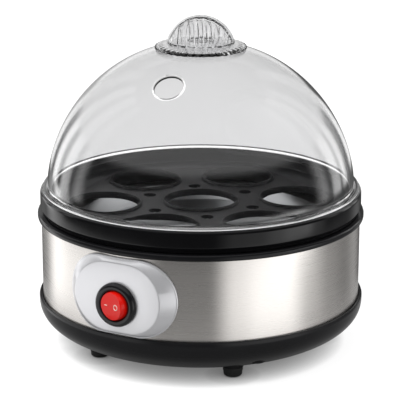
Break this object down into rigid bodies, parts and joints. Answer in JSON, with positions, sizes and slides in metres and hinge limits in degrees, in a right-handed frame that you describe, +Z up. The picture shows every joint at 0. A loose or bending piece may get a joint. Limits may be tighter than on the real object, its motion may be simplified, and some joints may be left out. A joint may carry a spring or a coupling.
{
  "type": "egg boiler",
  "caption": "Round countertop egg boiler with a bowl-shaped base, steel band, rocker switch, heating plate, egg tray and clear domed lid.",
  "frame": {"origin": "on the surface that the feet stand on, under the middle of the round body", "axes": "+Z up, -Y to the front where the switch is, +X to the right seen from the front"},
  "size_m": [0.1744, 0.1896, 0.1766],
  "materials": {
    "clear_plastic": "clear, polished",
    "black_plastic": "satin moulded",
    "silver_plastic": "silver lacquer",
    "red_plastic": "glossy, translucent",
    "nylon": "moulded",
    "insulation": "smooth",
    "black_rubber": "soft sheen",
    "silicone": "matte",
    "brushed_steel": "brushed round the band",
    "zinc_steel": "zinc plated",
    "aluminium": "spun, satin",
    "brass": "stamped",
    "lamp_glass": "clear"
  },
  "bodies": {
    "base": {"base_bowl": "black_plastic", "foot_1": "black_rubber", "foot_2": "black_rubber", "foot_3": "black_rubber", "foot_4": "black_rubber", "foot_5": "black_rubber", "housing_screw_1": "zinc_steel", "housing_screw_2": "zinc_steel", "housing_screw_3": "zinc_steel", "housing_screw_4": "zinc_steel", "steel_band": "brushed_steel", "top_ring": "black_plastic", "heating_plate": "aluminium", "plate_seal": "silicone", "heat_spreader": "aluminium", "heating_element": "zinc_steel", "plate_strap": "zinc_steel", "strap_screw_left": "zinc_steel", "strap_screw_right": "zinc_steel", "thermostat": "nylon", "thermal_fuse": "zinc_steel", "fuse_clip": "zinc_steel", "earth_lug": "brass", "earth_screw": "brass", "switch_panel": "silver_plastic", "panel_screw_1": "zinc_steel", "panel_screw_2": "zinc_steel", "switch_housing": "black_plastic", "switch_terminal_1": "brass", "switch_terminal_2": "brass", "switch_terminal_3": "brass", "neon_lamp": "lamp_glass", "cord_gland": "black_rubber", "cord_clamp": "black_plastic", "clamp_screw_1": "zinc_steel", "clamp_screw_2": "zinc_steel", "terminal_block": "nylon", "block_screw": "zinc_steel", "lead_live": "insulation", "lead_switched": "insulation", "lead_fused": "insulation", "lead_neutral": "insulation", "lead_earth": "insulation"},
    "tray": {"egg_tray": "black_plastic"},
    "lid": {"lid_dome": "clear_plastic", "lid_knob": "clear_plastic"},
    "rocker": {"switch_rocker": "red_plastic", "contact_plunger": "nylon", "contact_spring": "zinc_steel"},
    "contact": {"contact_lever": "brass"}
  },
  "joints": [
    {"name": "tray_lift", "type": "slide", "parent": "base", "child": "tray", "axis": [0, 0, 1], "range_m": [0, 0.05]},
    {"name": "lid_lift", "type": "slide", "parent": "tray", "child": "lid", "axis": [0, 0, 1], "range_m": [0, 0.11]},
    {"name": "rocker_tilt", "type": "hinge", "parent": "base", "child": "rocker", "pos_m": [0, -0.0902, 0.0445], "axis": [0, 0, 1], "range_deg": [0, 28]},
    {"name": "contact_rock", "type": "hinge", "parent": "base", "child": "contact", "pos_m": [0, -0.081, 0.0445], "axis": [0, 0, 1], "range_deg": [-14, 0]}
  ],
  "couplings": [
    {"joint": "contact_rock", "follows": "rocker_tilt", "ratio": -0.5}
  ]
}
